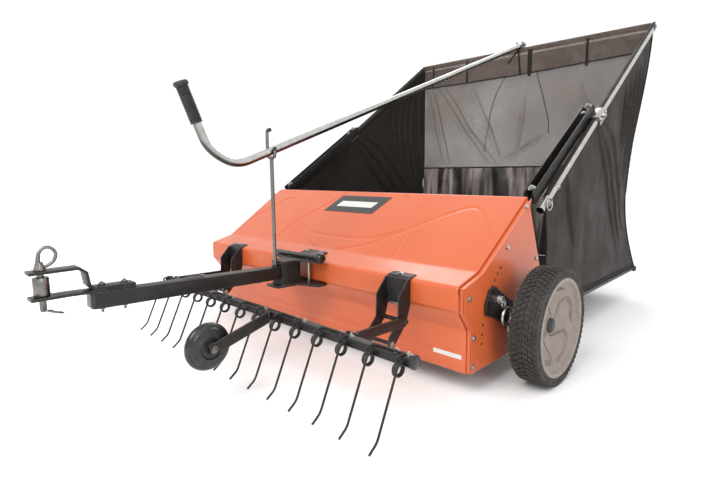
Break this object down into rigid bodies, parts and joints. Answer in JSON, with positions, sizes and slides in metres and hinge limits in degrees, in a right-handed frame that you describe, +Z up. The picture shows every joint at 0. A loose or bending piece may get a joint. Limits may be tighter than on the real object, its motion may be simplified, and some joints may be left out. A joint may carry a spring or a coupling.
{
  "type": "lawn sweeper",
  "caption": "Tow-behind lawn sweeper: ground wheels gear-drive a brush under a sheet-metal cover, which throws grass into a tilting fabric hopper; a sprung dethatcher rides ahead.",
  "frame": {"origin": "on the ground under the middle of the bounding box", "axes": "+Z up, -Y forwards to the towing vehicle, +X the left side of the machine"},
  "size_m": [1.385, 2.117, 1.1615],
  "materials": {
    "orange_paint": "baked gloss enamel over pressed sheet",
    "black_paint": "satin black powder coat",
    "zinc": "bright zinc plate, lightly dulled",
    "hub_plastic": "moulded grey plastic",
    "tyre": "moulded tread rubber",
    "bristle": "stiff extruded bristle",
    "bag_fabric": "coated woven polyester",
    "bag_mesh": "open woven mesh",
    "grip_rubber": "ribbed moulded grip",
    "nylon": "moulded nylon"
  },
  "bodies": {
    "frame": {"top_cover": "orange_paint", "front_panel": "orange_paint", "end_plate_left": "orange_paint", "end_plate_right": "orange_paint", "cross_tie": "black_paint", "hitch_bracket_lower": "black_paint", "hitch_bracket_upper": "black_paint", "tongue_tube": "black_paint", "clevis_strap_lower": "black_paint", "clevis_strap_upper": "black_paint", "hitch_spacer": "zinc", "handle_rest_rod": "zinc", "support_arm_left": "black_paint", "support_arm_right": "black_paint", "dethatcher_bracket_left": "black_paint", "dethatcher_bracket_right": "black_paint"},
    "brush": {"brush_shaft": "black_paint", "bristle_strip_1": "bristle", "bristle_strip_2": "bristle", "bristle_strip_3": "bristle", "bristle_strip_4": "bristle"},
    "height_arm_left": {"axle_arm_left": "black_paint"},
    "height_arm_right": {"axle_arm_right": "black_paint"},
    "height_pin_left": {"height_pin_left": "zinc"},
    "height_pin_right": {"height_pin_right": "zinc"},
    "wheel_left": {"tyre_left": "tyre", "wheel_hub_left": "hub_plastic"},
    "wheel_right": {"tyre_right": "tyre", "wheel_hub_right": "hub_plastic"},
    "pinion_left": {"pinion_left": "nylon"},
    "pinion_right": {"pinion_right": "nylon"},
    "dethatcher": {"lift_arm_left": "black_paint", "lift_arm_right": "black_paint", "tine_bar": "black_paint", "gauge_wheel_arm": "black_paint", "tine_pair_1": "black_paint", "tine_pair_2": "black_paint", "tine_pair_3": "black_paint", "tine_pair_4": "black_paint", "tine_pair_5": "black_paint", "tine_pair_6": "black_paint", "tine_pair_7": "black_paint"},
    "gauge_wheel": {"gauge_wheel": "tyre"},
    "hopper": {"hopper_side_tube_left": "zinc", "hopper_side_tube_right": "zinc", "hopper_top_tube": "zinc", "pivot_saddle_left": "zinc", "pivot_saddle_right": "zinc", "hopper_bottom_frame": "black_paint", "bag_side_left": "bag_fabric", "bag_side_right": "bag_fabric", "bag_mesh": "bag_mesh", "bag_rear": "bag_fabric", "bag_floor": "bag_fabric", "handle_bracket": "zinc"},
    "dump_handle": {"dump_handle": "zinc", "handle_grip": "grip_rubber"},
    "hitch_pin": {"hitch_pin": "zinc"},
    "hitch_clip": {"hitch_clip": "zinc"}
  },
  "joints": [
    {"name": "hopper_dump", "type": "hinge", "parent": "frame", "child": "hopper", "pos_m": [0, 0.4395, 0.716], "axis": [1, 0, 0], "range_deg": [0, 60]},
    {"name": "dump_handle_swing", "type": "hinge", "parent": "hopper", "child": "dump_handle", "pos_m": [0, 1.0445, 1.149], "axis": [1, 0, 0], "range_deg": [-48, 0]},
    {"name": "height_adjust_left", "type": "hinge", "parent": "frame", "child": "height_arm_left", "pos_m": [0.569, -0.0315, 0.1265], "axis": [1, 0, 0], "range_deg": [-24, 24]},
    {"name": "height_adjust_right", "type": "hinge", "parent": "frame", "child": "height_arm_right", "pos_m": [-0.569, -0.0315, 0.1265], "axis": [1, 0, 0], "range_deg": [-24, 24]},
    {"name": "height_pin_pull_left", "type": "slide", "parent": "height_arm_left", "child": "height_pin_left", "axis": [1, 0, 0], "range_m": [0, 0.01], "stiffness_N_per_m": 800},
    {"name": "height_pin_pull_right", "type": "slide", "parent": "height_arm_right", "child": "height_pin_right", "axis": [-1, 0, 0], "range_m": [0, 0.01], "stiffness_N_per_m": 800},
    {"name": "wheel_left_spin", "type": "hinge", "parent": "height_arm_left", "child": "wheel_left", "pos_m": [0.65, -0.0835, 0.151], "axis": [1, 0, 0], "continuous": true},
    {"name": "wheel_right_spin", "type": "hinge", "parent": "height_arm_right", "child": "wheel_right", "pos_m": [-0.65, -0.0835, 0.151], "axis": [1, 0, 0], "continuous": true},
    {"name": "pinion_left_spin", "type": "hinge", "parent": "height_arm_left", "child": "pinion_left", "pos_m": [0.63, -0.0315, 0.1265], "axis": [1, 0, 0], "continuous": true},
    {"name": "pinion_right_spin", "type": "hinge", "parent": "height_arm_right", "child": "pinion_right", "pos_m": [-0.63, -0.0315, 0.1265], "axis": [1, 0, 0], "continuous": true},
    {"name": "brush_spin", "type": "hinge", "parent": "frame", "child": "brush", "pos_m": [0, -0.0315, 0.1265], "axis": [1, 0, 0], "continuous": true},
    {"name": "dethatcher_lift", "type": "hinge", "parent": "frame", "child": "dethatcher", "pos_m": [0, -0.3795, 0.18], "axis": [1, 0, 0], "range_deg": [0, 8]},
    {"name": "gauge_wheel_spin", "type": "hinge", "parent": "dethatcher", "child": "gauge_wheel", "pos_m": [0.125, -0.7445, 0.141], "axis": [1, 0, 0], "continuous": true},
    {"name": "hitch_pin_lift", "type": "slide", "parent": "frame", "child": "hitch_pin", "axis": [0, 0, 1], "range_m": [0, 0.012]},
    {"name": "hitch_clip_pull", "type": "slide", "parent": "hitch_pin", "child": "hitch_clip", "axis": [1, 0, 0], "range_m": [0, 0.04]}
  ],
  "couplings": [
    {"joint": "dump_handle_swing", "follows": "hopper_dump", "ratio": -0.8},
    {"joint": "pinion_left_spin", "follows": "wheel_left_spin", "ratio": 5.6},
    {"joint": "pinion_right_spin", "follows": "wheel_right_spin", "ratio": 5.6},
    {"joint": "brush_spin", "follows": "wheel_right_spin", "ratio": 5.6}
  ]
}
